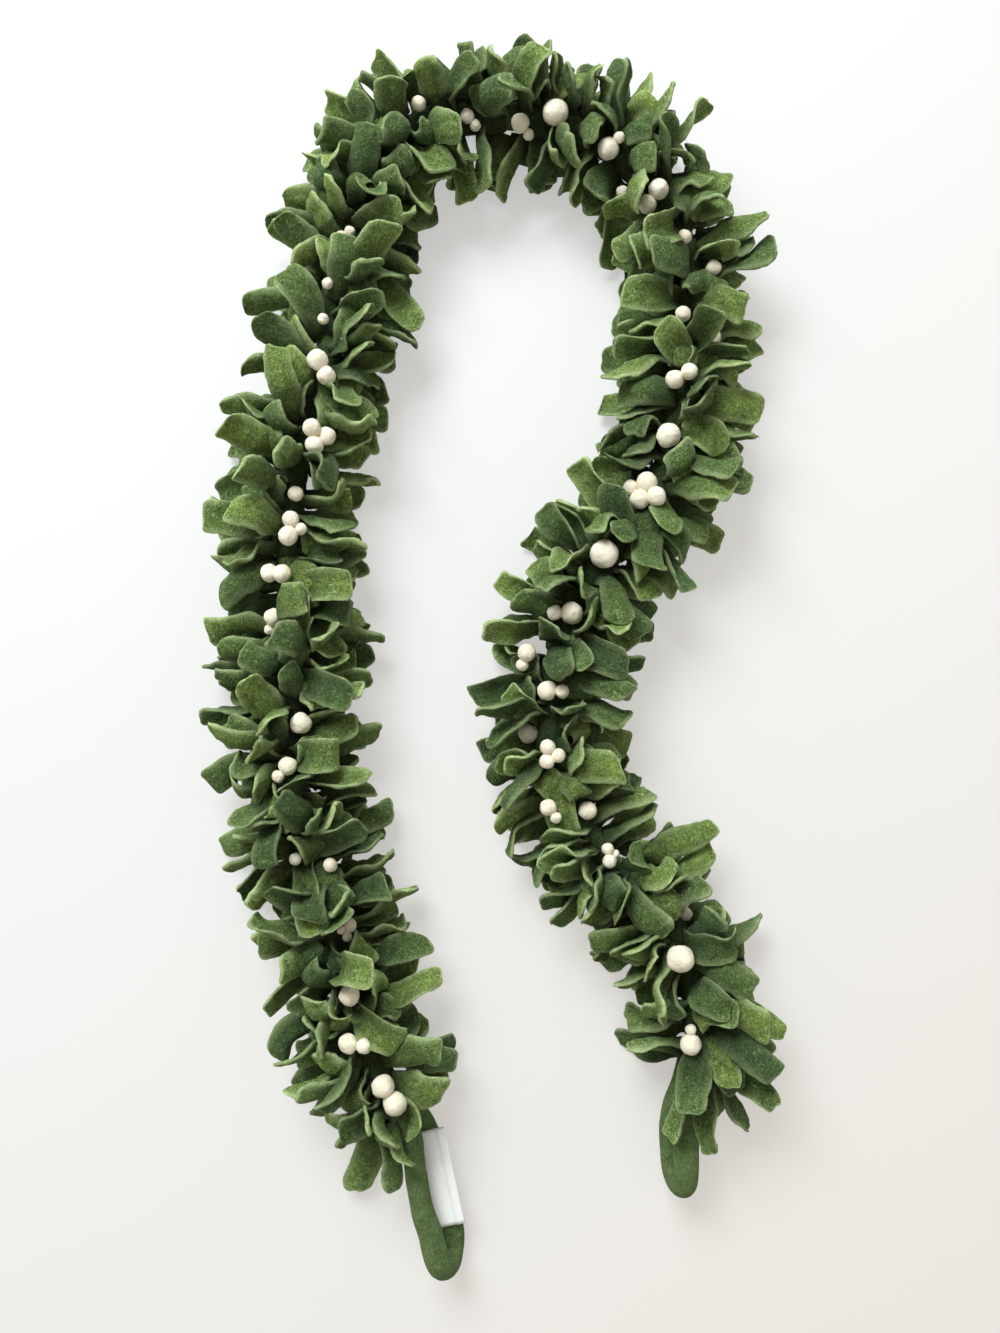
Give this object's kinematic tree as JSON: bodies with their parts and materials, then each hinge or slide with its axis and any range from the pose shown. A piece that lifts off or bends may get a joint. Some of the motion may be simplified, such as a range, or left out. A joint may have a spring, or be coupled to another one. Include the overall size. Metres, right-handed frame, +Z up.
{
  "type": "felt mistletoe garland",
  "caption": "Long garland of thick green felt leaves on a felt rope with cream felt berries and a hanging loop at each end, laid in an upside-down U.",
  "frame": {"origin": "on the table under the middle of the garland as it lies", "axes": "+Z up from the table, +Y towards the bend of the U, the two hanging loops towards -Y"},
  "size_m": [0.4272, 0.9148, 0.094],
  "materials": {
    "green_rope_felt": "matte rolled wool felt",
    "green_leaf_felt": "matte thick wool felt with a light fuzz",
    "cream_felt": "matte rolled wool balls",
    "white_satin": "soft satin ribbon, blank"
  },
  "bodies": {
    "root": {"core_rope": "green_rope_felt", "hanging_loop_left": "green_rope_felt", "hanging_loop_right": "green_rope_felt", "blank_label": "white_satin", "berries_01": "cream_felt", "berries_02": "cream_felt", "berries_03": "cream_felt", "berries_04": "cream_felt", "berries_05": "cream_felt", "berries_06": "cream_felt", "berries_07": "cream_felt", "berries_08": "cream_felt", "berries_09": "cream_felt", "berries_10": "cream_felt", "berries_11": "cream_felt", "berries_12": "cream_felt", "berries_13": "cream_felt", "berries_14": "cream_felt", "berries_15": "cream_felt", "berries_16": "cream_felt", "berries_17": "cream_felt", "berries_18": "cream_felt", "berries_19": "cream_felt", "berries_20": "cream_felt", "berries_21": "cream_felt", "berries_22": "cream_felt", "berries_23": "cream_felt", "berries_24": "cream_felt", "berries_25": "cream_felt", "berries_26": "cream_felt", "berries_27": "cream_felt", "berries_28": "cream_felt", "berries_29": "cream_felt", "berries_30": "cream_felt", "berries_31": "cream_felt", "berries_32": "cream_felt", "berries_33": "cream_felt", "berries_34": "cream_felt", "berries_35": "cream_felt", "berries_36": "cream_felt", "leaf_bunch_01": "green_leaf_felt", "leaf_bunch_02": "green_leaf_felt", "leaf_bunch_03": "green_leaf_felt", "leaf_bunch_04": "green_leaf_felt", "leaf_bunch_05": "green_leaf_felt", "leaf_bunch_06": "green_leaf_felt", "leaf_bunch_07": "green_leaf_felt", "leaf_bunch_08": "green_leaf_felt", "leaf_bunch_09": "green_leaf_felt", "leaf_bunch_10": "green_leaf_felt", "leaf_bunch_11": "green_leaf_felt", "leaf_bunch_12": "green_leaf_felt", "leaf_bunch_13": "green_leaf_felt", "leaf_bunch_14": "green_leaf_felt", "leaf_bunch_15": "green_leaf_felt", "leaf_bunch_16": "green_leaf_felt", "leaf_bunch_17": "green_leaf_felt", "leaf_bunch_18": "green_leaf_felt", "leaf_bunch_19": "green_leaf_felt", "leaf_bunch_20": "green_leaf_felt"}
  },
  "joints": []
}
